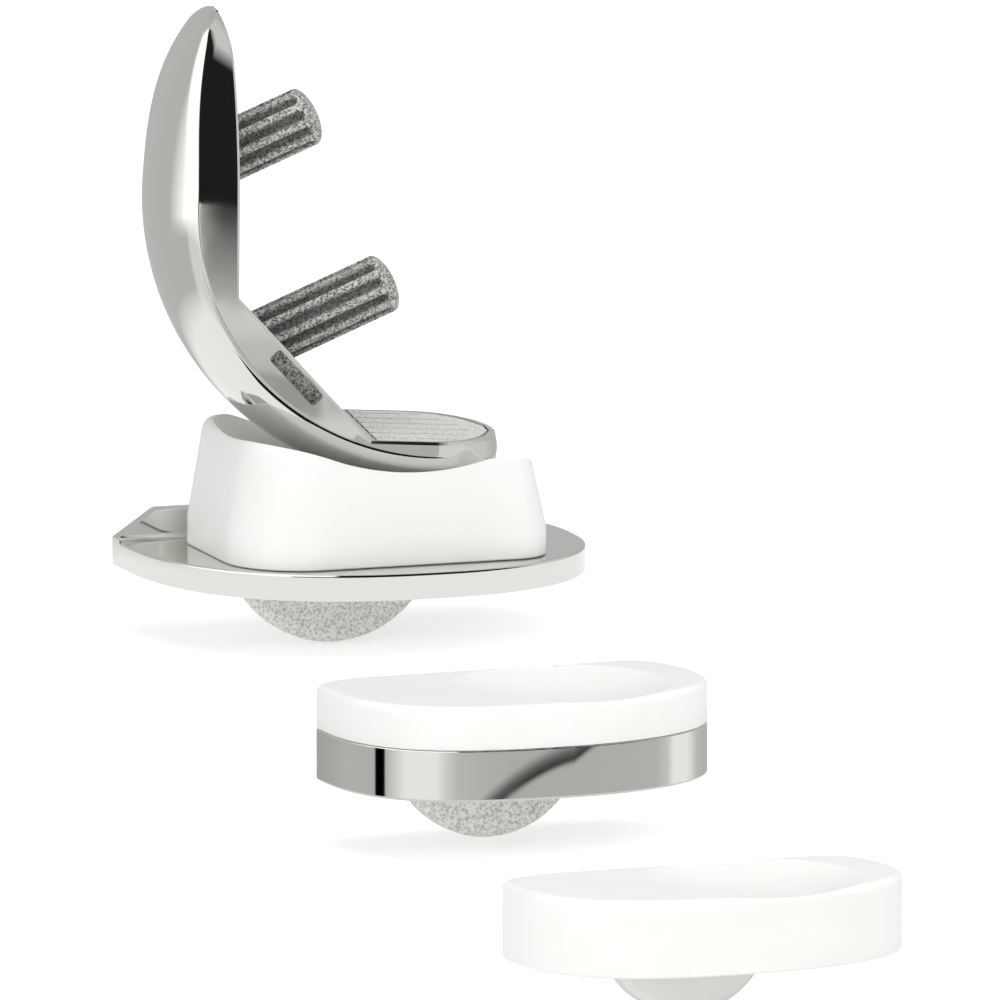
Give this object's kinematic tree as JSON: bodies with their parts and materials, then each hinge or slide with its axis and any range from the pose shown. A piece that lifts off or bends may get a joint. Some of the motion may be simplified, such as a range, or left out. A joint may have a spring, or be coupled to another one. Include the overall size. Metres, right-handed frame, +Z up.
{
  "type": "unicompartmental knee prosthesis set",
  "caption": "Partial knee prosthesis: polished femoral component on a sliding plastic bearing and metal tray, with a fixed-bearing and an all-plastic tibial component beside it.",
  "frame": {"origin": "point on the flat bone side of the tibial tray's porous layer, 8 mm medial of the middle of the tray", "axes": "+X posterior, +Y lateral, +Z up from the tibia towards the femur"},
  "size_m": [0.084, 0.251, 0.068],
  "materials": {
    "polished_cobalt_chrome": "mirror polished",
    "blasted_cobalt_chrome": "grit blasted",
    "porous_coating": "plasma sprayed, porous",
    "uhmwpe": "satin, slightly translucent",
    "marker_metal": "plain wire"
  },
  "bodies": {
    "tibia": {"tibial_tray": "polished_cobalt_chrome", "tray_coating": "porous_coating", "fixed_tray": "polished_cobalt_chrome", "fixed_coating": "porous_coating", "all_poly_tibia": "uhmwpe"},
    "bearing": {"mobile_bearing": "uhmwpe", "marker_wire": "marker_metal", "marker_ball_medial": "marker_metal", "marker_ball_lateral": "marker_metal"},
    "femoral": {"femoral_shell": "polished_cobalt_chrome", "anterior_peg": "blasted_cobalt_chrome", "posterior_peg": "blasted_cobalt_chrome", "distal_coating": "blasted_cobalt_chrome", "chamfer_coating": "blasted_cobalt_chrome", "flange_coating": "blasted_cobalt_chrome"},
    "insert": {"fixed_insert": "uhmwpe"}
  },
  "joints": [
    {"name": "bearing_glide", "type": "slide", "parent": "tibia", "child": "bearing", "axis": [1, 0, 0], "range_m": [-0.004, 0.005]},
    {"name": "knee_flexion", "type": "hinge", "parent": "bearing", "child": "femoral", "pos_m": [0.00724, 0.0091, 0.0408], "axis": [0.1564, 0.9877, 0], "range_deg": [-83, 27]},
    {"name": "insert_lift", "type": "slide", "parent": "tibia", "child": "insert", "axis": [0, 0, 1], "range_m": [0, 0.012]}
  ]
}
